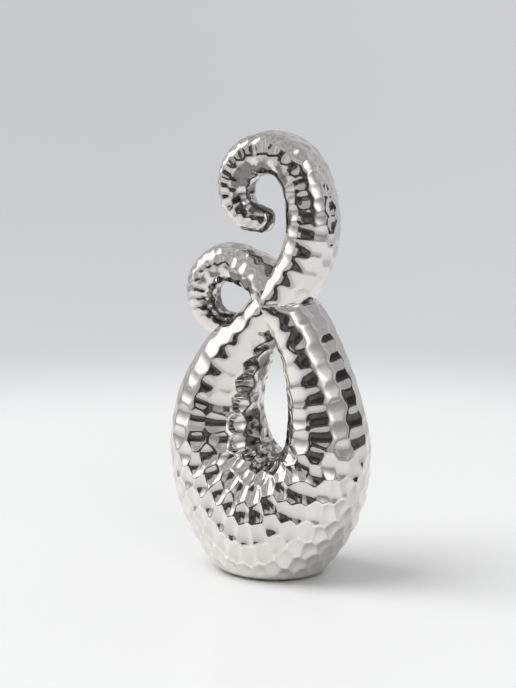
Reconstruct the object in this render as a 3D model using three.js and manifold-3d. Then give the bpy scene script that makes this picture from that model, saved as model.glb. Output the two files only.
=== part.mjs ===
// Plated ceramic ornament: one tapering limb that stands on an oval foot, loops round a
// teardrop opening, crosses itself and ends in a tall curl and a small curl.
// Millimetres, +Z up. The limb lies in the upright plane Y = 0, and its front faces -Y.
// Heights are measured from the underside of the foot.
import * as THREE from 'three';
import { mergeVertices } from 'three/addons/utils/BufferGeometryUtils.js';
import Module from 'manifold-3d';

// Slip-cast shell
const wallThickness = 4.5;
const floorThickness = 6;
const drainDiameter = 10;
const jointGap = 0.3;

// Belly: a rounded outline outside and an elliptic floor of the opening inside
const bellyLeft = 61.3;
const bellyRight = 59;
const bellyWaist = 66.5;
const bellyRoundness = 1.8;
const bellyHalfDepth = 36.8;
const leftWaistHalfDepth = 29.5;
const rightWaistHalfDepth = 27;
const footHalfWidth = 31.6;
const bellySteps = 6;

// Teardrop opening, at its lower end
const openingX = 3.4;
const openingHalfWidth = 9.3;
const openingFloor = 66.5;
const openingWaist = 77.2;

// Crossing of the two arms, where the limb is deeper than it is wide
const crossingX = 6.1;
const crossingHeight = 154.7;
const crossingRadius = 14.3;
const crossingHalfDepth = 21;

// Oval sections of the limb, placed from the crossing: to the right of it and up from it
const leftArmTop = { aside: -13.3, rise: -15.5, radius: 14.3, halfDepth: 21.6 };
const leftArmMiddle = { aside: -27.3, rise: -32.1, radius: 19.7, halfDepth: 22.6 };
const leftArmBase = { aside: -38.3, rise: -57.7, radius: 24.6, halfDepth: 24.4 };
const rightArmTop = { aside: 11.1, rise: -12.1, radius: 15.7, halfDepth: 20.8 };
const rightArmMiddle = { aside: 19.3, rise: -27.7, radius: 16.7, halfDepth: 21.4 };
const rightArmBase = { aside: 27.5, rise: -55.9, radius: 20.3, halfDepth: 22.6 };
const stemBase = { aside: 9.3, rise: 12.3, radius: 14.4, halfDepth: 19 };
const stemMiddle = { aside: 16.5, rise: 27.3, radius: 14.7, halfDepth: 16.6 };
const stemTop = { aside: 19.1, rise: 45.3, radius: 14.6, halfDepth: 15 };
const arch = { aside: -11.3, rise: 12.9, radius: 12.2, halfDepth: 16.4 };

// Tall curl: a spiral round a centre, which tightens and thins towards its tip
const tallCurl = {
  aside: -7.9,
  rise: 59.8,
  startAngle: 12,
  endAngle: 259,
  startTurn: 24.1,
  endTurn: 14.8,
  startRadius: 13.8,
  tipRadius: 7.4,
  thinning: 1.35,
  sections: 8,
  hollowSections: 5,
};

// Small curl, whose tip rests against the left arm
const smallCurl = {
  aside: -31.8,
  rise: 0.9,
  startAngle: 72,
  endAngle: 284,
  startTurn: 19.4,
  endTurn: 17.4,
  startRadius: 11.6,
  tipRadius: 7.2,
  thinning: 1,
  sections: 7,
  hollowSections: 4,
};
const curlTightening = 2;
const tipBluntness = 0.8;

// Felt pads under the foot
const padDiameter = 13;
const padThickness = 1.2;
const padInset = 9.5;
const padGlueGap = 0.2;

// Fineness of the facets
const outerSides = 28;
const innerSides = 18;
const outerSteps = 3;
const innerSteps = 2;
const domeSteps = 4;
const discSides = 32;
const weldDistance = 1e-4;

const wasm = await Module();
wasm.setup();

const radians = THREE.MathUtils.degToRad;

// Superellipse coordinate: the sign is kept and the power rounds the corner
function rounded(value) {
  return Math.sign(value) * Math.abs(value) ** (2 / bellyRoundness);
}

// Reach of the belly's outline below its waist, down to where the foot cuts it off
const footShare = (2 * footHalfWidth) / (bellyLeft + bellyRight);
const bellyDrop = bellyWaist / (1 - footShare ** bellyRoundness) ** (1 / bellyRoundness);

// Section of the belly, 0 at the bottom, -90 at the left waist and 90 at the right waist
function bellySection(degrees) {
  const angle = radians(degrees);
  const reach = degrees < 0 ? bellyLeft : bellyRight;
  const waistHalfDepth = degrees < 0 ? leftWaistHalfDepth : rightWaistHalfDepth;
  const across = Math.sin(angle);
  const down = Math.cos(angle);
  return {
    outside: new THREE.Vector2(reach * rounded(across), bellyWaist - bellyDrop * rounded(down)),
    inside: new THREE.Vector2(
      openingX + openingHalfWidth * across,
      openingWaist - (openingWaist - openingFloor) * down,
    ),
    halfDepth: waistHalfDepth + (bellyHalfDepth - waistHalfDepth) * down,
  };
}

function curlSections(curl) {
  return Array.from({ length: curl.sections }, (_, index) => {
    const share = index / (curl.sections - 1);
    const angle = radians(curl.startAngle + (curl.endAngle - curl.startAngle) * share);
    const turn = curl.startTurn + (curl.endTurn - curl.startTurn) * share ** curlTightening;
    const radius = curl.startRadius + (curl.tipRadius - curl.startRadius) * share ** curl.thinning;
    return {
      aside: curl.aside + turn * Math.cos(angle),
      rise: curl.rise + turn * Math.sin(angle),
      radius,
      halfDepth: radius,
    };
  });
}

// The whole limb, from the tip of the tall curl to the tip of the small curl
const crossing = { aside: 0, rise: 0, radius: crossingRadius, halfDepth: crossingHalfDepth };
const stem = [stemTop, stemMiddle, stemBase];
const tallSections = [...curlSections(tallCurl).reverse(), ...stem];
const leftSections = [crossing, leftArmTop, leftArmMiddle, leftArmBase];
const bellySections = Array.from(
  { length: bellySteps + 1 },
  (_, step) => bellySection(-90 + (180 * step) / bellySteps),
);
const rightSections = [rightArmBase, rightArmMiddle, rightArmTop, crossing];
const smallSections = [arch, ...curlSections(smallCurl)];
const limb = [
  ...tallSections,
  ...leftSections,
  ...bellySections,
  ...rightSections,
  ...smallSections,
];

// Places along the limb, counted in sections
const upperCrossing = tallSections.length;
const bottom = upperCrossing + leftSections.length + bellySteps / 2;
const lowerCrossing = limb.length - smallSections.length - 1;
const smallTip = limb.length - 1;

// Middle of each section, and the way the limb runs there
const centres = limb.map((section) => (section.outside
  ? section.outside.clone().add(section.inside).multiplyScalar(0.5)
  : new THREE.Vector2(crossingX + section.aside, crossingHeight + section.rise)));

function headingAt(index) {
  const before = centres[index].clone().sub(centres[Math.max(index - 1, 0)]);
  const after = centres[Math.min(index + 1, smallTip)].clone().sub(centres[index]);
  if (index === 0) return after.normalize();
  if (index === smallTip) return before.normalize();
  const ratio = after.length() / before.length();
  return before.multiplyScalar(ratio).add(after.divideScalar(ratio)).normalize();
}

// An oval section lies square to the limb
function ovalSection(section, index) {
  const heading = headingAt(index);
  const square = new THREE.Vector2(-heading.y, heading.x).multiplyScalar(section.radius);
  return {
    outside: centres[index].clone().sub(square),
    inside: centres[index].clone().add(square),
    halfDepth: section.halfDepth,
  };
}

const sections = limb.map(
  (section, index) => (section.outside ? section : ovalSection(section, index)),
);
const curveThrough = (points) => new THREE.CatmullRomCurve3(points, false, 'catmullrom');
const outsideCurve = curveThrough(sections.map(
  (section) => new THREE.Vector3(section.outside.x, section.halfDepth, section.outside.y),
));
const insideCurve = curveThrough(sections.map(
  (section) => new THREE.Vector3(section.inside.x, section.halfDepth, section.inside.y),
));

// Point of the limb's skin: place along it, angle round it, share of its radius and inset
function skinPoint(place, angle, share, inset) {
  const outside = outsideCurve.getPoint(place / smallTip);
  const inside = insideCurve.getPoint(place / smallTip);
  const halfDepth = outside.y;
  outside.y = 0;
  inside.y = 0;
  const centre = outside.clone().add(inside).multiplyScalar(0.5);
  const half = inside.sub(centre);
  const halfWidth = half.length();
  half.multiplyScalar((share * (halfWidth - inset) * Math.cos(angle)) / halfWidth);
  const point = centre.clone().add(half);
  point.y = share * (halfDepth - inset) * Math.sin(angle);
  return point;
}

// Direction out of the limb at one of its tips
function tipDirection(place) {
  const outward = headingAt(place).multiplyScalar(place === 0 ? -1 : 1);
  return new THREE.Vector3(outward.x, 0, outward.y);
}

// Closed tube of the limb between two places, with a dome where it ends in a tip
function limbGeometry(from, to, inset, sides, stepsPerSection) {
  const steps = Math.max(1, Math.round(Math.abs(to - from) * stepsPerSection));
  const profile = [new THREE.Vector2(0, 0)];
  for (let step = 0; step <= steps; step += 1) {
    profile.push(new THREE.Vector2(1, step));
  }
  const isTip = (to === 0 || to === smallTip) && inset <= 0;
  for (let step = 1; isTip && step < domeSteps; step += 1) {
    const angle = (step / domeSteps) * (Math.PI / 2);
    profile.push(new THREE.Vector2(Math.cos(angle), steps + Math.sin(angle)));
  }
  profile.push(new THREE.Vector2(0, steps + (isTip ? 1 : 0)));
  const geometry = new THREE.LatheGeometry(profile, sides);
  const position = geometry.attributes.position;
  const vertex = new THREE.Vector3();
  for (let index = 0; index < position.count; index += 1) {
    vertex.fromBufferAttribute(position, index);
    const share = Math.hypot(vertex.x, vertex.z);
    const angle = Math.atan2(vertex.z, vertex.x) * Math.sign(to - from);
    const along = Math.min(vertex.y, steps) / steps;
    const point = skinPoint(from + (to - from) * along, angle, share, inset);
    if (vertex.y > steps) {
      const tipRadius = sections[to].halfDepth - inset;
      point.addScaledVector(tipDirection(to), (vertex.y - steps) * tipRadius * tipBluntness);
    }
    position.setXYZ(index, point.x, point.y, point.z);
  }
  return geometry;
}

// Closed geometry to a solid for cutting and joining
function solidOf(geometry) {
  const bare = geometry.clone();
  bare.deleteAttribute('normal');
  bare.deleteAttribute('uv');
  const merged = mergeVertices(bare, weldDistance);
  const corners = merged.index.array;
  const triangles = [];
  for (let at = 0; at < corners.length; at += 3) {
    const [a, b, c] = corners.slice(at, at + 3);
    if (a !== b && b !== c && c !== a) triangles.push(a, b, c);
  }
  return new wasm.Manifold(new wasm.Mesh({
    numProp: 3,
    vertProperties: new Float32Array(merged.attributes.position.array),
    triVerts: new Uint32Array(triangles),
  }));
}

function geometryOf(solid) {
  const mesh = solid.getMesh();
  const geometry = new THREE.BufferGeometry();
  geometry.setAttribute('position', new THREE.BufferAttribute(new Float32Array(mesh.vertProperties), 3));
  geometry.setIndex(new THREE.BufferAttribute(new Uint32Array(mesh.triVerts), 1));
  geometry.computeVertexNormals();
  return geometry;
}

const outerTube = (from, to, grow = 0) => solidOf(limbGeometry(from, to, -grow, outerSides, outerSteps));
const innerTube = (from, to) => solidOf(limbGeometry(from, to, wallThickness, innerSides, innerSteps));

// Level slab, wider and deeper than the ornament, between two heights
const slabWidth = 2 * (bellyLeft + bellyRight + bellyHalfDepth);
function slab(low, high) {
  const geometry = new THREE.BoxGeometry(slabWidth, slabWidth, high - low);
  geometry.translate(0, 0, (low + high) / 2);
  return solidOf(geometry);
}

function disc(diameter, low, high, x = 0, y = 0) {
  const geometry = new THREE.CylinderGeometry(diameter / 2, diameter / 2, high - low, discSides);
  geometry.rotateX(Math.PI / 2);
  geometry.translate(x, y, (low + high) / 2);
  return geometry;
}

// The castings meet on the level plane through the crossing
const jointLow = crossingHeight - jointGap / 2;
const jointHigh = crossingHeight + jointGap / 2;
const top = crossingHeight + tallCurl.rise + 2 * (tallCurl.startTurn + tallCurl.startRadius);
const aboveCrossing = stem.length - 1;

// Both arms and the belly as one solid, left and right halves joined at the bottom
function bothArms(tube, ...rest) {
  const left = tube(upperCrossing - aboveCrossing, bottom, ...rest);
  const right = tube(lowerCrossing + 1, bottom, ...rest);
  return left.add(right);
}

// Tall curl, with the shoulder of the right arm that rises past the joint at its foot
function tallForm(grow) {
  const shoulder = outerTube(lowerCrossing - 1, lowerCrossing, grow);
  return outerTube(upperCrossing + 1, 0, grow).add(shoulder);
}

const tallSolid = tallForm(0).intersect(slab(jointHigh, top));
const tallHollow = innerTube(upperCrossing + 1, tallCurl.sections - tallCurl.hollowSections);
const smallHollow = innerTube(lowerCrossing, lowerCrossing + 1 + smallCurl.hollowSections);
const loopSolid = bothArms(outerTube).intersect(slab(0, jointLow));
const loopHollow = bothArms(innerTube).intersect(slab(floorThickness, top));
const drain = solidOf(disc(drainDiameter, -floorThickness, 2 * floorThickness));

// The small curl is fitted against the tall curl and the loop with an even joint gap
const tallClearance = tallForm(jointGap);
const loopClearance = bothArms(outerTube, jointGap).intersect(slab(0, jointHigh));

const loopBody = loopSolid.subtract(loopHollow).subtract(drain);
const tallCasting = tallSolid.subtract(tallHollow);
const smallCasting = outerTube(lowerCrossing, smallTip)
  .subtract(smallHollow)
  .subtract(tallClearance)
  .subtract(loopClearance);

const plating = { color: 0xc9c6c1, roughness: 0.08, metalness: 1 };
const felt = { color: 0x2b2a29, roughness: 0.95, metalness: 0 };

function addPiece(parent, name, geometry, look) {
  const mesh = new THREE.Mesh(geometry, new THREE.MeshStandardMaterial(look));
  mesh.name = name;
  parent.add(mesh);
}

// Half depth of the flat oval foot, on the section at the bottom of the belly
const bottomHalf = (openingFloor - bellyWaist + bellyDrop) / 2;
const bottomCentre = openingFloor - bottomHalf;
const footHalfDepth = bellyHalfDepth * Math.sqrt(1 - (bottomCentre / bottomHalf) ** 2);

// The ornament stands centred over the origin
const ornament = new THREE.Group();
ornament.position.x = (bellyLeft - bellyRight) / 2;
const castings = new THREE.Group();
castings.position.z = padThickness + padGlueGap;
addPiece(castings, 'loop_body', geometryOf(loopBody), plating);
addPiece(castings, 'tall_curl', geometryOf(tallCasting), plating);
addPiece(castings, 'small_curl', geometryOf(smallCasting), plating);
ornament.add(castings);

for (const [row, side] of [['front', -1], ['rear', 1]]) {
  for (const [column, reach] of [['left', -bellyLeft], ['right', bellyRight]]) {
    const x = Math.sign(reach) * (Math.abs(reach) * footShare - padInset) * Math.SQRT1_2;
    const y = side * (footHalfDepth - padInset) * Math.SQRT1_2;
    addPiece(ornament, `felt_pad_${row}_${column}`, disc(padDiameter, 0, padThickness, x, y), felt);
  }
}

export default ornament;
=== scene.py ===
import math

import bmesh
import bpy
import numpy as np
from mathutils import Matrix, Vector
from mathutils.bvhtree import BVHTree
from mathutils.kdtree import KDTree


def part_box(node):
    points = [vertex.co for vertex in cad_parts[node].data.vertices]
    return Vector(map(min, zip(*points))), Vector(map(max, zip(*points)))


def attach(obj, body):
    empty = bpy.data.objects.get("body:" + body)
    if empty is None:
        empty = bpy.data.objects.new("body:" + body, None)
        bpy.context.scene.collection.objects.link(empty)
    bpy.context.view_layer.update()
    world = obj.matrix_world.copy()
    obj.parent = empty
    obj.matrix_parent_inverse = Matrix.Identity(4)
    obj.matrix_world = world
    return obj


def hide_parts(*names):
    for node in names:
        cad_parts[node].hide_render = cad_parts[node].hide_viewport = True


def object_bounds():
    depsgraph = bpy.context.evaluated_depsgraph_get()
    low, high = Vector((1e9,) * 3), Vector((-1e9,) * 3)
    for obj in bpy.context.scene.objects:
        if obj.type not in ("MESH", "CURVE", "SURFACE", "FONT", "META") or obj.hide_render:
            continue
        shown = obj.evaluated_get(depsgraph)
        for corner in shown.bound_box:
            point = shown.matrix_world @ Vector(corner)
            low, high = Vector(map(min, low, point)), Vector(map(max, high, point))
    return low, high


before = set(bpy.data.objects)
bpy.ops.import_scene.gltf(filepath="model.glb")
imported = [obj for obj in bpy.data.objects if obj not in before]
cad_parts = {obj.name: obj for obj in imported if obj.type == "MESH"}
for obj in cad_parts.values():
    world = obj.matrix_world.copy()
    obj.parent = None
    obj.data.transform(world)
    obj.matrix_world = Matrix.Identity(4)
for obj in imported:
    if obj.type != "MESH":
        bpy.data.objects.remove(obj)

cadLow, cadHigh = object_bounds()
scene = bpy.context.scene
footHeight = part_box("loop_body")[0].z
jointHeight = (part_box("loop_body")[1].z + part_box("tall_curl")[0].z) / 2
mergeDistance = 1e-6


# The limb: one tapering tentacle, from the tip of the tall curl to the tip of the small curl

limb = {
    "bellyLeft": 0.0613,            # reach of the belly from the middle of the foot
    "bellyRight": 0.0590,
    "bellyWaist": 0.0665,           # heights are from the underside of the foot
    "bellyRoundness": 1.8,
    "bellyHalfDepth": 0.0368,
    "waistHalfDepths": (0.0295, 0.0270),
    "footHalfWidth": 0.0316,
    "bellySteps": 6,
    "bellyLift": 0.2,               # lifts the fullest line of the belly, with the foot as it was
    "openingX": 0.0034,             # lower end of the teardrop opening
    "openingHalfWidth": 0.0093,
    "openingFloor": 0.0665,
    "openingWaist": 0.0772,
    "crossing": (0.0061, 0.1547),
    "tipBluntness": 0.8,
    "curlTightening": 2,
    "curlFlatness": 1.2,            # squares off the inside of the curls
    "shapeFade": 2.5,               # sections over which lift and flatness come in
    "liftPast": 0.5,                # sections past the belly
    "flatFrom": (1.5, 1),           # sections past the crossing, on the stem and on the arch
}
# oval sections from the crossing: aside, up, radius and half depth
crossingSection = (0, 0, 0.0143, 0.0210)
leftArm = [
    (-0.0133, -0.0155, 0.0143, 0.0216),
    (-0.0273, -0.0321, 0.0197, 0.0226),
    (-0.0383, -0.0577, 0.0246, 0.0244),
]
rightArm = [
    (0.0111, -0.0121, 0.0157, 0.0208),
    (0.0193, -0.0277, 0.0167, 0.0214),
    (0.0275, -0.0559, 0.0203, 0.0226),
]
stem = [
    (0.0093, 0.0123, 0.0144, 0.0190),
    (0.0165, 0.0273, 0.0147, 0.0166),
    (0.0191, 0.0453, 0.0146, 0.0150),
]
arch = [(-0.0113, 0.0129, 0.0122, 0.0164)]
tallCurl = {
    "centre": (-0.0079, 0.0598),
    "angles": (12, 259),
    "turns": (0.0241, 0.0148),
    "radii": (0.0138, 0.0074),
    "thinning": 1.35,
    "sections": 8,
}
smallCurl = {
    "centre": (-0.0318, 0.0009),
    "angles": (72, 284),
    "turns": (0.0194, 0.0174),
    "radii": (0.0116, 0.0072),
    "thinning": 1,
    "sections": 7,
}


def curlSections(curl):
    rows = []
    for share in np.linspace(0, 1, curl["sections"]):
        angle = math.radians(np.interp(share, (0, 1), curl["angles"]))
        turn = np.interp(share ** limb["curlTightening"], (0, 1), curl["turns"])
        radius = np.interp(share ** curl["thinning"], (0, 1), curl["radii"])
        x, z = curl["centre"]
        rows.append((x + turn * math.cos(angle), z + turn * math.sin(angle), radius, radius))
    return rows


def bellySection(degrees):    # 0 at the bottom, -90 and 90 at the left and right waist
    roundness = limb["bellyRoundness"]
    footShare = 2 * limb["footHalfWidth"] / (limb["bellyLeft"] + limb["bellyRight"])
    drop = limb["bellyWaist"] / (1 - footShare ** roundness) ** (1 / roundness)
    across = math.sin(math.radians(degrees))
    down = math.cos(math.radians(degrees))
    reach = limb["bellyLeft"] if degrees < 0 else limb["bellyRight"]
    waistDepth = limb["waistHalfDepths"][0 if degrees < 0 else 1]
    rounded = math.copysign(abs(across) ** (2 / roundness), across)
    return (
        reach * rounded,
        limb["bellyWaist"] - drop * max(down, 0) ** (2 / roundness),
        limb["openingX"] + limb["openingHalfWidth"] * across,
        limb["openingWaist"] - (limb["openingWaist"] - limb["openingFloor"]) * down,
        waistDepth + (limb["bellyHalfDepth"] - waistDepth) * down,
    )


def limbStations():    # rows of outside x and z, inside x and z, and half depth
    belly = [bellySection(angle) for angle in np.linspace(-90, 90, limb["bellySteps"] + 1)]
    first = curlSections(tallCurl)[::-1] + stem[::-1] + [crossingSection] + leftArm
    second = rightArm[::-1] + [crossingSection] + arch + curlSections(smallCurl)
    origin = np.array(limb["crossing"])
    middles = np.array(
        [origin + row[:2] for row in first]
        + [((row[0] + row[2]) / 2, (row[1] + row[3]) / 2) for row in belly]
        + [origin + row[:2] for row in second]
    )
    steps = np.diff(middles, axis=0)
    stations = []
    for index, row in enumerate([*first, *belly, *second]):
        if len(row) == 5:
            stations.append(row)
            continue
        radius, halfDepth = row[2:]
        before = steps[max(index - 1, 0)]
        after = steps[min(index, len(steps) - 1)]
        ratio = np.linalg.norm(after) / np.linalg.norm(before)
        heading = before * ratio + after / ratio
        square = np.array((-heading[1], heading[0])) / np.linalg.norm(heading) * radius
        stations.append((*(middles[index] - square), *(middles[index] + square), halfDepth))
    return np.array(stations)


stations = limbStations()
smallTip = len(stations) - 1
upperCrossing = tallCurl["sections"] + len(stem)
bottom = upperCrossing + 1 + len(leftArm) + limb["bellySteps"] / 2
lowerCrossing = smallTip - smallCurl["sections"] - len(arch)
limbOrigin = np.array(((limb["bellyLeft"] - limb["bellyRight"]) / 2, 0, footHeight))


def stationAt(places):    # a smooth curve through the stations
    ends = [2 * stations[0] - stations[1], *stations, 2 * stations[-1] - stations[-2]]
    ends = np.array(ends)
    places = np.clip(places, 0, smallTip)
    start = np.minimum(places.astype(int), smallTip - 1)
    t = (places - start)[:, None]
    a, b, c, d = (ends[start + k] for k in range(4))
    leave, arrive = (c - a) / 2, (d - b) / 2
    square = 3 * (c - b) - 2 * leave - arrive
    cube = 2 * (b - c) + leave + arrive
    return b + leave * t + square * t ** 2 + cube * t ** 3


def smoothShare(values, low, high):
    share = np.clip((values - low) / (high - low), 0, 1)
    return share * share * (3 - 2 * share)


def ringShape(places, angles):    # across and deep on a section: an oval, lifted or squared off
    fade = limb["shapeFade"]
    stemStart, archStart = limb["flatFrom"]
    belly = smoothShare(limb["bellySteps"] / 2 + limb["liftPast"] - np.abs(places - bottom), 0, fade)
    tall = smoothShare(upperCrossing - stemStart - places, 0, fade)
    small = smoothShare(places - lowerCrossing - archStart, 0, fade)
    across = np.cos(angles)
    deep = np.sin(angles + limb["bellyLift"] * belly * np.sin(angles) * (1 + across) / 2)
    power = 2 + limb["curlFlatness"] * np.maximum(tall, small)
    squared = (np.abs(across) ** power + np.abs(np.sin(angles)) ** power) ** (-1 / power)
    reach = np.where(across > 0, squared, 1)
    return across * reach, deep * reach


def skin(places, angles):    # points of the smooth limb; a place past either end lies on the round tip
    row = stationAt(places)
    across, deep = ringShape(places, angles)
    middle = (row[:, 0:2] + row[:, 2:4]) / 2
    half = (row[:, 2:4] - row[:, 0:2]) / 2
    past = np.where(places < 0, places, np.maximum(places - smallTip, 0))
    bend = np.clip(past, -1, 1) * math.pi / 2
    share = np.cos(bend)
    firstWay = (stations[1, :4] - stations[0, :4]).reshape(2, 2).mean(0)
    lastWay = (stations[-1, :4] - stations[-2, :4]).reshape(2, 2).mean(0)
    firstWay = firstWay / np.linalg.norm(firstWay)
    lastWay = lastWay / np.linalg.norm(lastWay)
    way = np.where(places[:, None] < 0, firstWay, lastWay)
    flat = middle + half * (share * across)[:, None]
    flat = flat + way * (np.sin(bend) * row[:, 4] * limb["tipBluntness"])[:, None]
    depth = row[:, 4] * share * deep
    return np.stack((flat[:, 0], depth, flat[:, 1]), 1) + limbOrigin


def skinNormals(places, angles, step=1e-4):
    along = skin(places + step, angles) - skin(places - step, angles)
    around = skin(places, angles + step) - skin(places, angles - step)
    normals = np.cross(along, around)
    return normals / np.linalg.norm(normals, axis=1)[:, None]


# Hammered dimples: shallow bowls pressed all over the limb, which meet in thin ridges

dimples = {
    "pitch": (0.0052, 0.0110),      # least and greatest distance between bowls
    "pitchShare": 0.62,             # of the limb's half width
    "bellyStretch": 1.65,           # bowls on the belly are taller than wide
    "bellySteepness": 1.2,          # power of that stretch that steepens them again
    "bellyNarrowing": 0.78,
    "bellyTop": 0.100,
    "bellyFade": 0.045,
    "bellyBowlRadius": 0.0098,
    "bowlRadius": 0.0240,           # on a limb of the next half width and over
    "fullHalfWidth": 0.0165,
    "tipBowlShare": 0.42,
    "insideShare": 0.6,             # tighter bowls on the inside of each bend
    "insideTurn": (0.2, 0.8),       # how far inside, from 0 at its middle line to 1
    "ridgeSoftness": (0.00026, 0.00022),    # of the arms and of the belly
    "depthSpread": (0.55, 0.22),    # on the limb and on the belly
    "ridgeTop": 0.15,               # over the skin, as a share of the depth
    "limbSpread": 0.35,             # keeps the bowls of two crossing stretches apart
    "neighbours": 5,
    "tipReach": (0.8, 0.95),        # of the bowls and of the samples, out of 1 for the round tip
    "sampleStep": 0.0016,
    "rounds": 8,
    "seed": 7,
    "footFade": (0.0008, 0.0045),
    "tableSteps": 40,               # for each section
    "tableHeights": (-0.01, 0.3, 1241),
}

tablePlaces = np.linspace(-1, smallTip + 1, dimples["tableSteps"] * (smallTip + 2) + 1)
tableRows = stationAt(tablePlaces)
tableMiddles = (tableRows[:, 0:2] + tableRows[:, 2:4]) / 2
tableLengths = np.linalg.norm(np.diff(tableMiddles, axis=0), axis=1)
tableLengths = np.concatenate(([0], np.cumsum(tableLengths)))
tableSpans = np.linalg.norm(tableRows[:, 2:4] - tableRows[:, 0:2], axis=1) / 2
tableHalfWidths = (tableSpans + tableRows[:, 4]) / 2


def bellyShare(heights):
    return 1 - smoothShare(heights, dimples["bellyTop"] - dimples["bellyFade"], dimples["bellyTop"])


tableHeights = np.linspace(*dimples["tableHeights"])
tableStretched = np.cumsum(1 / (1 + (dimples["bellyStretch"] - 1) * bellyShare(tableHeights)))
tableStretched = tableStretched * (tableHeights[1] - tableHeights[0])


def bowlCoordinates(places, points):    # a space where all the bowls are round
    return np.column_stack((
        points[:, 0],
        points[:, 1],
        np.interp(points[:, 2], tableHeights, tableStretched),
        dimples["limbSpread"] * np.interp(places, tablePlaces, tableLengths),
    )).astype(np.float32)


def bowlPitch(places, points):
    low, high = dimples["pitch"]
    halfWidths = np.interp(places, tablePlaces, tableHalfWidths)
    pitch = np.clip(dimples["pitchShare"] * halfWidths, low, high)
    return pitch * (1 - (1 - dimples["bellyNarrowing"]) * bellyShare(points[:, 2]))


def nearestBowls(where, centres, count):    # squared distances to the nearest bowls, and their numbers
    found, numbers = [], []
    for chunk in np.array_split(where, max(1, len(where) // 4000)):
        squares = (chunk ** 2).sum(1)[:, None] - 2 * chunk @ centres.T + (centres ** 2).sum(1)
        if count > 1:
            nearest = np.argpartition(squares, count - 1, axis=1)[:, :count]
        else:
            nearest = squares.argmin(1)[:, None]
        numbers.append(nearest)
        found.append(np.take_along_axis(squares, nearest, 1))
    return np.maximum(np.vstack(found), 0), np.vstack(numbers)


def ringPlaces(start, end, step):    # rings a step apart on the longer edge of the limb
    places = np.linspace(start, end, 4001)
    outside = skin(places, np.full(len(places), math.pi))
    inside = skin(places, np.zeros(len(places)))
    longer = np.maximum(
        np.linalg.norm(np.diff(outside, axis=0), axis=1),
        np.linalg.norm(np.diff(inside, axis=0), axis=1),
    )
    length = np.concatenate(([0], np.cumsum(longer)))
    count = max(2, math.ceil(length[-1] / step))
    return np.interp(np.linspace(0, length[-1], count + 1), length, places)


def bowlRows():    # staggered rows of bowls along each stretch of the limb
    bellyStart = bottom - limb["bellySteps"] / 2
    bellyEnd = bottom + limb["bellySteps"] / 2
    curlStart = smallTip - smallCurl["sections"] + 1
    tip = dimples["tipReach"][0]
    upper = (-tip, tallCurl["sections"] - 1, upperCrossing, bellyStart)
    lower = (bellyEnd, lowerCrossing, curlStart, smallTip + tip)
    stretches = upper + lower
    seeds = []
    for first, last in zip(stretches[:-1], stretches[1:]):
        turns = np.linspace(0, 2 * math.pi, 361)
        middle = np.full(len(turns), (first + last) / 2)
        section = skin(middle, turns)
        around = np.linalg.norm(np.diff(bowlCoordinates(middle, section)[:, :3], axis=0), axis=1)
        around = np.concatenate(([0], np.cumsum(around / bowlPitch(middle, section)[1:])))
        rows = 2 * round(around[-1] / math.sqrt(3))
        places = np.linspace(first, last, 401)
        for row in range(rows):
            angles = np.full(len(places), np.interp((row + 0.5) / rows * around[-1], around, turns))
            line = skin(places, angles)
            along = np.linalg.norm(np.diff(bowlCoordinates(places, line)[:, :3], axis=0), axis=1)
            along = np.concatenate(([0], np.cumsum(along / bowlPitch(places, line)[1:])))
            marks = np.interp(np.arange(0.25 + 0.5 * (row % 2), along[-1], 1), along, places)
            points = skin(marks, angles[:len(marks)])
            above = points[:, 2] > footHeight
            seeds.append(bowlCoordinates(marks, points)[above])
    return np.concatenate(seeds)


def settleBowls():    # even out the rows: each bowl moves to the middle of its own cell
    rng = np.random.default_rng(dimples["seed"])
    places, angles, areas = [], [], []
    tip = dimples["tipReach"][1]
    rings = ringPlaces(-tip, smallTip + tip, dimples["sampleStep"])
    for low, high in zip(rings[:-1], rings[1:]):
        place = (low + high) / 2
        reach = np.interp(place, tablePlaces, tableHalfWidths)
        sides = max(8, round(2 * math.pi * reach / dimples["sampleStep"]))
        turn = (np.arange(sides) + rng.random()) * 2 * math.pi / sides
        here = np.full(sides, place)
        span = skin(here + (high - low) / 2, turn) - skin(here - (high - low) / 2, turn)
        places.append(here)
        angles.append(turn)
        areas.append(np.linalg.norm(span, axis=1) * 2 * math.pi * reach / sides)
    places, angles, areas = (np.concatenate(part) for part in (places, angles, areas))
    points = skin(places, angles)
    above = points[:, 2] > footHeight
    places, points, areas = places[above], points[above], areas[above]
    where = bowlCoordinates(places, points)
    pitch = bowlPitch(places, points)
    centres = bowlRows()
    count = len(centres)
    weights = areas / pitch ** 4
    for _ in range(dimples["rounds"]):
        owner = nearestBowls(where, centres, 1)[1][:, 0]
        total = np.bincount(owner, weights, count)
        for axis in range(4):
            moved = np.bincount(owner, weights * where[:, axis], count) / np.maximum(total, 1e-20)
            centres[:, axis] = np.where(total > 0, moved, centres[:, axis])
    print("bowls settled:", count, "from", len(where), "samples")
    return centres, rng.uniform(-1, 1, count)


bowlCentres, bowlDepths = settleBowls()


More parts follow.
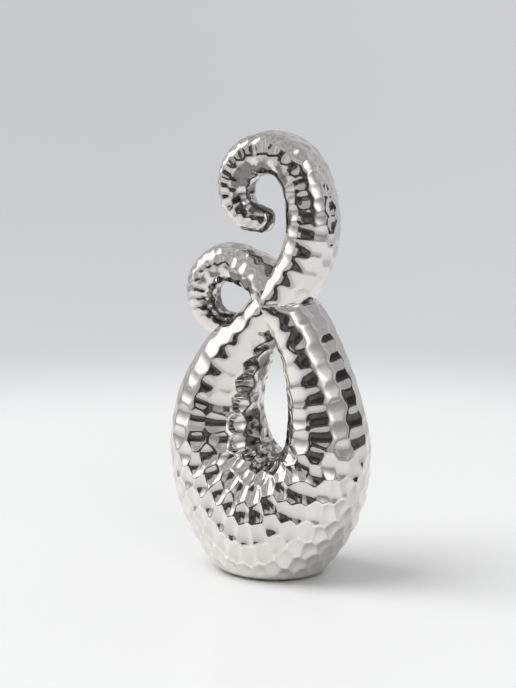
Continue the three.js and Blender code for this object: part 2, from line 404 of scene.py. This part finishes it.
def hammered(places, angles):    # points of the limb with its dimples
    points = skin(places, angles)
    where = bowlCoordinates(places, points)
    squares, numbers = nearestBowls(where, bowlCentres, dimples["neighbours"])
    belly = bellyShare(points[:, 2])
    stretch = 1 + (dimples["bellyStretch"] - 1) * belly
    rises = where[:, 2, None] - bowlCentres[numbers, 2]
    squares = squares + (stretch ** dimples["bellySteepness"] - 1)[:, None] * rises ** 2
    pitch = bowlPitch(places, points)
    halfWidths = np.interp(places, tablePlaces, tableHalfWidths)
    fullness = np.clip(halfWidths / dimples["fullHalfWidth"], dimples["tipBowlShare"], 1)
    curve = dimples["bowlRadius"] * fullness
    inside = smoothShare(np.cos(angles), *dimples["insideTurn"])
    curve = curve * (1 - (1 - dimples["insideShare"]) * inside)
    curve = curve + (dimples["bellyBowlRadius"] - curve) * belly
    depth = (pitch / 2) ** 2 / (2 * curve)
    spread = np.interp(belly, (0, 1), dimples["depthSpread"])
    depths = depth[:, None] * (1 + spread[:, None] * bowlDepths[numbers])
    bowls = squares / (2 * curve)[:, None] - depths
    soft = np.interp(belly, (0, 1), dimples["ridgeSoftness"])
    soft = soft * np.clip(pitch / dimples["pitch"][1], 0, 1)
    lowest = bowls.min(1)
    height = lowest - soft * np.log(np.exp((lowest[:, None] - bowls) / soft[:, None]).sum(1))
    height = np.minimum(height, (dimples["ridgeTop"] + belly) * depth)
    height = height * smoothShare(points[:, 2] - footHeight, *dimples["footFade"])
    return points + skinNormals(places, angles) * height[:, None]


# Meshes

def newPiece(name, bm):
    mesh = bpy.data.meshes.new(name)
    bm.to_mesh(mesh)
    bm.free()
    piece = bpy.data.objects.new(name, mesh)
    scene.collection.objects.link(piece)
    return piece


def limbTube(name, start, end, sides, step):
    rings = ringPlaces(start, end, step)
    bm = bmesh.new()
    bmesh.ops.create_grid(bm, x_segments=len(rings) - 1, y_segments=sides, size=1)
    flat = np.array([v.co for v in bm.verts])
    places = np.interp(flat[:, 0], np.linspace(-1, 1, len(rings)), rings)
    angles = (flat[:, 1] + 1) * math.pi
    for vert, point in zip(bm.verts, hammered(places, angles)):
        vert.co = point
    bmesh.ops.remove_doubles(bm, verts=bm.verts, dist=mergeDistance)
    edges = [e for e in bm.edges if e.is_boundary]
    ends = bmesh.ops.holes_fill(bm, edges=edges, sides=0)["faces"]
    bmesh.ops.poke(bm, faces=ends)
    bmesh.ops.recalc_face_normals(bm, faces=bm.faces)
    print(name, "tube:", len(rings), "rings,", len(bm.faces), "faces")
    return newPiece(name, bm)


def slab(name, low, high):
    bm = bmesh.new()
    size = 4 * (cadHigh - cadLow).length
    place = Matrix.Translation((0, 0, (low + high) / 2)) @ Matrix.Diagonal((size, size, high - low, 1))
    bmesh.ops.create_cube(bm, size=1, matrix=place)
    return newPiece(name, bm)


def combine(piece, other, operation):
    step = piece.modifiers.new(operation.lower(), "BOOLEAN")
    step.object = other
    step.operation = operation
    step.solver = "MANIFOLD"
    view = bpy.context.evaluated_depsgraph_get()
    mesh = bpy.data.meshes.new_from_object(piece.evaluated_get(view))
    piece.modifiers.remove(step)
    old = piece.data
    piece.data = mesh
    mesh.name = piece.name
    bpy.data.meshes.remove(old)


def discard(*pieces):
    for piece in pieces:
        mesh = piece.data
        bpy.data.objects.remove(piece)
        bpy.data.meshes.remove(mesh)


casting = {
    "loopSides": 216,
    "loopStep": 0.001,
    "curlSides": 128,
    "curlStep": 0.00075,
    "pastCrossing": 1.0,            # sections that each arm runs on past the joint before it is cut
    "halfGap": 0.015,               # sections left open under the loop, then bridged
    "crumb": 200,                   # points
    "shortEdge": 1e-7,
    "tipEnd": 0.97,
    "creaseAngle": 50,
}


def bridgeLoop(piece):    # takes out the ends that face each other under the loop and joins their edges
    bm = bmesh.new()
    bm.from_mesh(piece.data)
    low = [v for v in bm.verts if v.co.z < jointHeight / 2]
    ends = [v for v in low if len(v.link_edges) == casting["loopSides"]]
    bmesh.ops.delete(bm, geom=ends, context="VERTS")
    bmesh.ops.bridge_loops(bm, edges=[e for e in bm.edges if e.is_boundary])
    bmesh.ops.recalc_face_normals(bm, faces=bm.faces)
    openEdges = sum(e.is_boundary for e in bm.edges)
    print(piece.name, "bridged:", len(ends), "ends,", openEdges, "open edges")
    bm.to_mesh(piece.data)
    bm.free()


def dropCrumbs(piece):    # scraps that the cuts leave loose
    bm = bmesh.new()
    bm.from_mesh(piece.data)
    rest = set(bm.verts)
    crumbs = []
    while rest:
        fresh = {rest.pop()}
        part = set(fresh)
        while fresh:
            fresh = {v for known in fresh for edge in known.link_edges for v in edge.verts} & rest
            rest -= fresh
            part |= fresh
        if len(part) < casting["crumb"]:
            crumbs.extend(part)
    bmesh.ops.delete(bm, geom=crumbs, context="VERTS")
    bmesh.ops.dissolve_degenerate(bm, dist=casting["shortEdge"], edges=bm.edges)
    print(piece.name, "without", len(crumbs), "loose points")
    bm.to_mesh(piece.data)
    bm.free()


def castLimb():
    loopMesh = (casting["loopSides"], casting["loopStep"])
    curlMesh = (casting["curlSides"], casting["curlStep"])
    past, tip, gap = casting["pastCrossing"], casting["tipEnd"], casting["halfGap"]
    loop = limbTube("loopBody", upperCrossing - past, bottom - gap, *loopMesh)
    rightHalf = limbTube("rightHalf", lowerCrossing + past, bottom + gap, *loopMesh)
    tall = limbTube("tallCurl", upperCrossing + past, -tip, *curlMesh)
    shoulder = limbTube("shoulder", lowerCrossing - past, lowerCrossing, *curlMesh)
    small = limbTube("smallCurl", lowerCrossing, smallTip + tip, *curlMesh)
    below = slab("below", footHeight + foot["rim"], jointHeight)
    above = slab("above", jointHeight, 2 * cadHigh.z)
    combine(loop, rightHalf, "UNION")
    bridgeLoop(loop)
    combine(loop, below, "INTERSECT")
    combine(tall, shoulder, "UNION")
    combine(small, tall, "DIFFERENCE")
    combine(small, loop, "DIFFERENCE")
    combine(tall, above, "INTERSECT")
    discard(rightHalf, shoulder, below, above)
    for piece in (loop, tall, small):
        dropCrumbs(piece)
    return loop, tall, small


# Foot: a rounded rim, a bare flat underside and the drain hole of the casting

foot = {
    "rim": 0.0012,
    # shares of the rim's height and of the foot's size
    "rimSteps": ((0.46, 0.981), (0.125, 0.9645), (0, 0.944)),
    "glazeEdge": 0.92,
    "drainRadius": 0.005,
    "drainSides": 32,
    "floorThickness": 0.006,
}


def extrudeLoop(bm, edges, matrix):
    made = bmesh.ops.extrude_edge_only(bm, edges=edges)["geom"]
    verts = [g for g in made if isinstance(g, bmesh.types.BMVert)]
    bmesh.ops.transform(bm, matrix=matrix, verts=verts)
    fresh = set(verts)
    return [e for v in verts for e in v.link_edges if e.verts[0] in fresh and e.verts[1] is v]


def finishFoot(piece):
    bm = bmesh.new()
    bm.from_mesh(piece.data)
    cut = footHeight + foot["rim"]
    cap = [f for f in bm.faces if all(abs(v.co.z - cut) < mergeDistance for v in f.verts)]
    bmesh.ops.delete(bm, geom=cap, context="FACES")
    bmesh.ops.remove_doubles(bm, verts=bm.verts, dist=mergeDistance)
    edges = [e for e in bm.edges if e.is_boundary]
    middle = Matrix.Translation((*limbOrigin[:2], 0))
    height, size = cut, 1
    for share, scale in [*foot["rimSteps"], (0, foot["glazeEdge"])]:
        newHeight = footHeight + foot["rim"] * share
        grow = Matrix.Diagonal((scale / size, scale / size, 1, 1))
        fall = Matrix.Translation((0, 0, newHeight - height))
        edges = extrudeLoop(bm, edges, middle @ fall @ grow @ middle.inverted())
        height, size = newHeight, scale
    before = set(bm.faces)
    place = Matrix.Translation(limbOrigin)
    sides, radius = foot["drainSides"], foot["drainRadius"]
    hole = bmesh.ops.create_circle(bm, segments=sides, radius=radius, matrix=place)
    ring = list({e for v in hole["verts"] for e in v.link_edges})
    bmesh.ops.bridge_loops(bm, edges=edges + ring)
    ring = extrudeLoop(bm, ring, Matrix.Translation((0, 0, foot["floorThickness"])))
    bmesh.ops.holes_fill(bm, edges=ring, sides=0)
    for face in set(bm.faces) - before:
        face.material_index = 1
    bmesh.ops.recalc_face_normals(bm, faces=bm.faces)
    bm.to_mesh(piece.data)
    bm.free()


loopBody, tallPiece, smallPiece = castLimb()
finishFoot(loopBody)
for piece in (loopBody, tallPiece, smallPiece):
    piece.data.shade_smooth()
    piece.data.set_sharp_from_angle(angle=math.radians(casting["creaseAngle"]))
    print(piece.name, "cast:", len(piece.data.vertices), "points,", len(piece.data.polygons), "faces")


# Recesses: how far a casting closes round each of its points; painted shade darkens the plating there

recess = {
    "rays": 40,
    "reach": 0.050,
    "every": 9,                     # points that share one sample
    "lift": 0.0008,
    "blend": 5,
    "gains": {"loopBody": 0.6, "tallCurl": 2, "smallCurl": 2},    # more painted shade in the tight curls
    # painted shade added where a curl faces its own middle, within this turn and this distance
    "curlInside": {"tallCurl": 0.46, "smallCurl": 0.75},
    "curlTurn": (-0.05, 0.45),
    "curlReach": (0.019, 0.027),
}


def curlMiddle(curl):
    x, z = np.array(limb["crossing"]) + curl["centre"]
    return Vector(limbOrigin) + Vector((x, 0, z))


def facing(vert, middle):    # 1 where the surface faces the middle of its curl
    inward = middle - vert.co
    inward.y = 0
    turned = smoothShare(vert.normal.dot(inward.normalized()), *recess["curlTurn"])
    return turned * (1 - smoothShare(inward.length, *recess["curlReach"]))


# painted shade: rays that meet the casting, and a curl's inside, darken the plating's colour
def paintRecessShade(pieces):
    middles = {"tallCurl": curlMiddle(tallCurl), "smallCurl": curlMiddle(smallCurl)}
    turns = np.arange(recess["rays"]) * math.pi * (3 - math.sqrt(5))
    heights = np.sqrt((np.arange(recess["rays"]) + 0.5) / recess["rays"])
    flats = np.sqrt(1 - heights ** 2)
    rays = [Vector(ray) for ray in zip(flats * np.cos(turns), flats * np.sin(turns), heights)]
    for piece in pieces:
        tree = BVHTree.FromPolygons(
            [v.co for v in piece.data.vertices],
            [face.vertices for face in piece.data.polygons],
        )
        samples = list(piece.data.vertices)[::recess["every"]]
        closed = []
        near = KDTree(len(samples))
        for index, vert in enumerate(samples):
            turn = vert.normal.to_track_quat("Z", "Y")
            start = vert.co + vert.normal * recess["lift"]
            hits = sum(tree.ray_cast(start, turn @ ray, recess["reach"])[0] is not None for ray in rays)
            share = recess["gains"][piece.name] * hits / len(rays)
            if piece.name in middles:
                share += recess["curlInside"][piece.name] * facing(vert, middles[piece.name])
            closed.append(min(share, 1))
            near.insert(vert.co, index)
        near.balance()
        blend = recess["blend"]
        shares = [
            sum(closed[index] for _, index, _ in near.find_n(vert.co, blend)) / blend
            for vert in piece.data.vertices
        ]
        marks = piece.data.attributes.new("recess", "FLOAT", "POINT")
        marks.data.foreach_set("value", shares)
        print(piece.name, "recesses marked, up to", round(max(shares), 2))


paintRecessShade((loopBody, tallPiece, smallPiece))


# Ridges between the bowls, where a painted highlight lightens the plating's colour

ridges = {"bend": (0.05, 0.22)}     # fall towards the next points, as a share of their distance


# painted highlight: how sharply each point stands up, to lighten the ridges
def paintRidgeHighlights(piece):
    bm = bmesh.new()
    bm.from_mesh(piece.data)
    bm.normal_update()
    bends = []
    for vert in bm.verts:
        falls = sum(vert.normal.dot(vert.co - edge.other_vert(vert).co) for edge in vert.link_edges)
        bends.append(falls / sum(edge.calc_length() for edge in vert.link_edges))
    bm.free()
    marks = piece.data.attributes.new("ridge", "FLOAT", "POINT")
    marks.data.foreach_set("value", smoothShare(np.array(bends), *ridges["bend"]))
    print(piece.name, "ridges marked")


for piece in (loopBody, tallPiece, smallPiece):
    paintRidgeHighlights(piece)


# Felt pads, glued under the foot

pad = {"sides": 48, "softEdge": 0.0003, "edgeSteps": 3}
padNodes = [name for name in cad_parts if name.startswith("felt_pad")]


def feltPad(node):
    low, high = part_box(node)
    bm = bmesh.new()
    radius = (high.x - low.x) / 2
    place = Matrix.Translation((low + high) / 2)
    bmesh.ops.create_cone(
        bm, cap_ends=True, segments=pad["sides"],
        radius1=radius, radius2=radius, depth=high.z - low.z, matrix=place,
    )
    rims = [e for e in bm.edges if abs(e.verts[0].co.z - e.verts[1].co.z) < mergeDistance]
    bmesh.ops.bevel(
        bm, geom=rims, offset=pad["softEdge"], segments=pad["edgeSteps"],
        profile=0.5, affect="EDGES", material=-1,
    )
    name = "".join(word.capitalize() for word in node.split("_"))
    piece = newPiece(name[0].lower() + name[1:], bm)
    piece.data.shade_smooth()
    piece.data.set_sharp_from_angle(angle=math.radians(casting["creaseAngle"]))
    return piece


feltPads = {node: feltPad(node) for node in padNodes}
print("pads made:", len(feltPads))


# Camera at the photograph's angle

photoView = {
    "azimuth": 28.0,
    "pitch": 10.5,
    "distance": 1.238,
    "lens": 112.5,
    "imageSize": (516, 688),
    "footPixel": (271.5, 565.5),    # middle of the foot's underside
}


def addCamera():
    camera = bpy.data.objects.new("camera", bpy.data.cameras.new("camera"))
    scene.collection.objects.link(camera)
    azimuth, pitch = math.radians(photoView["azimuth"]), math.radians(photoView["pitch"])
    right = Vector((math.cos(azimuth), math.sin(azimuth), 0))
    level = Vector((-math.sin(azimuth), math.cos(azimuth), 0))
    ahead = level * math.cos(pitch) - Vector((0, 0, math.sin(pitch)))
    up = right.cross(ahead)
    width, height = photoView["imageSize"]
    camera.data.lens = photoView["lens"]
    pixels = photoView["lens"] / camera.data.sensor_width * height
    aside = (photoView["footPixel"][0] - width / 2) / pixels
    down = (photoView["footPixel"][1] - height / 2) / pixels
    place = Vector(limbOrigin) - (ahead + right * aside - up * down) * photoView["distance"]
    camera.matrix_world = Matrix.Translation(place) @ Matrix((right, up, -ahead)).transposed().to_4x4()
    scene.camera = camera
    print("camera at", [round(c, 4) for c in place])


addCamera()


# Shader values: sums of them add Math nodes

class Value:
    def __init__(self, tree, socket):
        self.tree = tree
        self.socket = socket

    def math(self, operation, first, second):
        node = self.tree.nodes.new("ShaderNodeMath")
        node.operation = operation
        for place, value in enumerate((first, second)):
            plug(self.tree, node.inputs[place], value)
        return Value(self.tree, node.outputs[0])

    def __add__(self, other):
        return self.math("ADD", self, other)

    def __sub__(self, other):
        return self.math("SUBTRACT", self, other)

    def __rsub__(self, other):
        return self.math("SUBTRACT", other, self)

    def __mul__(self, other):
        return self.math("MULTIPLY", self, other)

    __radd__ = __add__
    __rmul__ = __mul__


def plug(tree, socket, value):
    if isinstance(value, Value):
        tree.links.new(value.socket, socket)
    else:
        socket.default_value = value


class Finish:
    def __init__(self, owner, coordinates="Object"):    # of a material, or of the world
        owner.use_nodes = True
        self.owner = owner
        self.tree = owner.node_tree
        self.shader = next(n for n in self.tree.nodes if n.type in ("BSDF_PRINCIPLED", "BACKGROUND"))
        self.where = self.node("ShaderNodeTexCoord", {}, {}, coordinates)

    def node(self, kind, settings, values, output=0):
        node = self.tree.nodes.new(kind)
        for name, setting in settings.items():
            setattr(node, name, setting)
        for name, value in values.items():
            plug(self.tree, node.inputs[name], value)
        return Value(self.tree, node.outputs[output])

    def noise(self, scale, detail=2, roughness=0.5):
        values = {"Vector": self.where, "Scale": scale, "Detail": detail, "Roughness": roughness}
        return self.node("ShaderNodeTexNoise", {}, values, "Fac")

    def mixed(self, share, first, second):
        values = {"Factor": share, 6: first, 7: second}
        return self.node("ShaderNodeMix", {"data_type": "RGBA"}, values, 2)

    def between(self, value, low, high):    # 0 up to low, 1 from high
        values = {"Value": value, "From Min": low, "From Max": high}
        return self.node("ShaderNodeMapRange", {"interpolation_type": "SMOOTHSTEP"}, values)

    def bump(self, height, strength, distance):
        values = {"Height": height, "Strength": strength, "Distance": distance}
        return self.node("ShaderNodeBump", {}, values, "Normal")

    def set(self, **values):
        for name, value in values.items():
            plug(self.tree, self.shader.inputs[name.replace("_", " ")], value)
        return self.owner


plating = {
    "silver": (0.76, 0.738, 0.71, 1),
    "cloudySilver": (0.69, 0.668, 0.64, 1),
    # painted highlight along the ridges
    "ridgeSilver": (0.95, 0.935, 0.91, 1),
    "ridgeShare": 0.85,
    # painted shade in the recesses
    "smoke": (0.15, 0.142, 0.137, 1),
    "smokeShare": 0.88,
    "patches": (0.38, 0.62),        # of the noise that breaks up the painted shade
    "thin": (0.08, 0.40),
}


def platedGlaze():    # silver plating over a glaze that is not quite even, with painted shade in the recesses and painted highlights on the ridges
    look = Finish(bpy.data.materials.new("platedGlaze"))
    cloud = look.noise(28, 3)
    grain = look.noise(900, 2)
    ripple = look.noise(260, 2)
    closed = look.node("ShaderNodeAttribute", {"attribute_name": "recess"}, {}, "Fac")
    patch = look.between(look.noise(130, 2), *plating["patches"])
    # painted shade: darker and rougher where the casting closes round
    thin = look.between(closed * (0.15 + 1.3 * patch), *plating["thin"])
    # painted highlight: lighter along the ridges
    ridge = look.node("ShaderNodeAttribute", {"attribute_name": "ridge"}, {}, "Fac")
    silver = look.mixed(cloud, plating["silver"], plating["cloudySilver"])
    silver = look.mixed(ridge * plating["ridgeShare"], silver, plating["ridgeSilver"])
    return look.set(
        Metallic=1.0,
        Base_Color=look.mixed(thin * plating["smokeShare"], silver, plating["smoke"]),
        Roughness=0.03 + 0.03 * cloud + 0.02 * grain + 0.06 * thin,
        Normal=look.bump(ripple, 0.5, 0.00006),
    )


clayTones = ((0.78, 0.75, 0.69, 1), (0.62, 0.585, 0.53, 1))
feltTones = ((0.012, 0.012, 0.012, 1), (0.06, 0.057, 0.054, 1))


def bareClay():    # unglazed underside
    look = Finish(bpy.data.materials.new("bareClay"))
    speck = look.noise(1400, 4, 0.7)
    stain = look.noise(60, 3)
    return look.set(
        Base_Color=look.mixed(stain * 0.6 + speck * 0.4, *clayTones),
        Roughness=0.75 + 0.2 * speck,
        Normal=look.bump(speck, 0.6, 0.0001),
    )


def wornFelt():
    look = Finish(bpy.data.materials.new("wornFelt"))
    fibre = look.noise(2600, 6, 0.75)
    patch = look.noise(300, 3)
    look.set(Sheen_Weight=0.3, Sheen_Roughness=0.6)
    return look.set(
        Base_Color=look.mixed(fibre * 0.7 + patch * 0.3, *feltTones),
        Roughness=0.9 + 0.1 * fibre,
        Normal=look.bump(fibre, 1.0, 0.0003),
    )


def finishPiece(piece, node, slot, *materials):
    piece.data.materials.clear()
    for material in materials:
        piece.data.materials.append(material)
    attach(piece, "root")
    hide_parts(node)


glazed, clay, felt = platedGlaze(), bareClay(), wornFelt()
finishPiece(loopBody, "loop_body", "silver_plated_ceramic", glazed, clay)
finishPiece(tallPiece, "tall_curl", "silver_plated_ceramic", glazed)
finishPiece(smallPiece, "small_curl", "silver_plated_ceramic", glazed)
for node, piece in feltPads.items():
    finishPiece(piece, node, "pad_felt", felt)


# Pale floor, which turns to a light grey away from the object: a painted falloff of light

studio = {
    "floorSize": 20,
    "floorNear": (0.84, 0.84, 0.84, 1),
    "floorFar": (0.60, 0.61, 0.625, 1),
    "floorFade": (0.40, 0.72),
    "floorRoughness": 0.32,
    "worldLevel": (0.52, 0.525, 0.535, 1),
    "worldTop": (0.40, 0.405, 0.415, 1),
    "worldPatch": (0.78, 0.78, 0.78, 1),
    "patchShare": 0.6,
    "patchNoise": 4,                # scale, on the world and on the cards
    "worldPatches": (0.42, 0.62),
    "cardPatches": (0.35, 0.75),
    "eyeHeight": 0.15,              # cards are set out as seen from here
}
# azimuth from the front, half width, and lowest and highest elevation, all in degrees, then light
softboxes = {
    "leftSoftbox": (-74, 34, -9, 52, 4.2),
    "rightSoftbox": (57, 30, -7, 58, 3.6),
}
# the dark side of the room, which only shows in the plating
darkCards = {
    "frontCard": (6, 23, -8, 24, 0.03),
    "lowCard": (-31, 14, -8, 8, 0.03),
    "sideCard": (121, 24, -5, 17, 0.03),
}
# the edge is a share of the height, and the light there and in cloudy patches a share of the card's
cardKinds = {
    "softbox": {"distance": 1.1, "edge": 0.5, "edgeLight": 0.1, "patchLight": 0.7},
    "darkCard": {"distance": 0.9, "edge": 0.12, "edgeLight": 4, "patchLight": 5},
}
keyLight = {"azimuth": -60, "elevation": 58, "softness": 40, "strength": 1.9}


def addFloor():
    bm = bmesh.new()
    bmesh.ops.create_grid(bm, x_segments=1, y_segments=1, size=studio["floorSize"])
    floor = newPiece("floor", bm)
    look = Finish(bpy.data.materials.new("floorPaint"))
    reach = look.node("ShaderNodeVectorMath", {"operation": "LENGTH"}, {0: look.where}, "Value")
    # painted light: paler near the object, greyer away from it
    fade = look.between(reach, *studio["floorFade"])
    floor.data.materials.append(look.set(
        Base_Color=look.mixed(fade, studio["floorNear"], studio["floorFar"]),
        Roughness=studio["floorRoughness"],
        Specular_IOR_Level=0.5,
    ))


def outward(azimuth, elevation=0):
    a, e = math.radians(azimuth), math.radians(elevation)
    return Vector((math.sin(a) * math.cos(e), -math.cos(a) * math.cos(e), math.sin(e)))


def addCard(name, azimuth, halfWidth, low, high, light, kind):    # upright, and softer towards its edge
    shape = cardKinds[kind]
    reach = shape["distance"]
    width = 2 * reach * math.tan(math.radians(halfWidth))
    base = max(studio["eyeHeight"] + reach * math.tan(math.radians(low)), 0)
    height = studio["eyeHeight"] + reach * math.tan(math.radians(high)) - base
    place = outward(azimuth) * reach + Vector((0, 0, base + height / 2))
    turn = outward(azimuth).to_track_quat("Z", "Y").to_matrix().to_4x4()
    bm = bmesh.new()
    size = Matrix.Diagonal((width, height, 1, 1))
    bmesh.ops.create_grid(bm, x_segments=1, y_segments=1, size=0.5, matrix=size)
    card = newPiece(name, bm)
    card.matrix_world = Matrix.Translation(place) @ turn
    look = Finish(bpy.data.materials.new(name))
    sides = look.node("ShaderNodeVectorMath", {"operation": "ABSOLUTE"}, {0: look.where})
    across = look.node("ShaderNodeSeparateXYZ", {}, {0: sides}, "X")
    along = look.node("ShaderNodeSeparateXYZ", {}, {0: sides}, "Y")
    edge = shape["edge"] * height
    edgeLight = shape["edgeLight"] * light
    sideFade = look.between(across, width / 2 - edge, width / 2)
    endFade = look.between(along, height / 2 - edge, height / 2)
    fade = 1 - (1 - sideFade) * (1 - endFade)
    cloud = look.between(look.noise(studio["patchNoise"]), *studio["cardPatches"])
    patch = shape["patchLight"] * light
    middle = look.mixed(cloud, (light, light, light, 1), (patch, patch, patch, 1))
    colour = look.mixed(fade, middle, (edgeLight, edgeLight, edgeLight, 1))
    card.data.materials.append(look.set(
        Base_Color=(0, 0, 0, 1),
        Specular_IOR_Level=0.0,
        Emission_Color=colour,
        Emission_Strength=1.0,
    ))
    card.visible_camera = False
    card.visible_shadow = False
    return card


def addWorld():    # a soft grey room, a little patchy, darker overhead
    look = Finish(bpy.data.worlds.new("studio"), "Generated")
    height = look.node("ShaderNodeSeparateXYZ", {}, {0: look.where}, "Z")
    room = look.mixed(height, studio["worldLevel"], studio["worldTop"])
    patches = look.between(look.noise(studio["patchNoise"]), *studio["worldPatches"])
    scene.world = look.set(Color=look.mixed(patches * studio["patchShare"], room, studio["worldPatch"]))


def addStudio():
    addFloor()
    for name, card in softboxes.items():
        addCard(name, *card, "softbox")
    for name, card in darkCards.items():
        addCard(name, *card, "darkCard").visible_diffuse = False
    lamp = bpy.data.lights.new("keyLight", "SUN")
    lamp.angle = math.radians(keyLight["softness"])
    lamp.energy = keyLight["strength"]
    light = bpy.data.objects.new("keyLight", lamp)
    way = outward(keyLight["azimuth"], keyLight["elevation"])
    light.matrix_world = way.to_track_quat("Z", "Y").to_matrix().to_4x4()
    light.visible_glossy = False
    scene.collection.objects.link(light)
    addWorld()
    scene.view_settings.view_transform = "Standard"
    print("studio set")


addStudio()
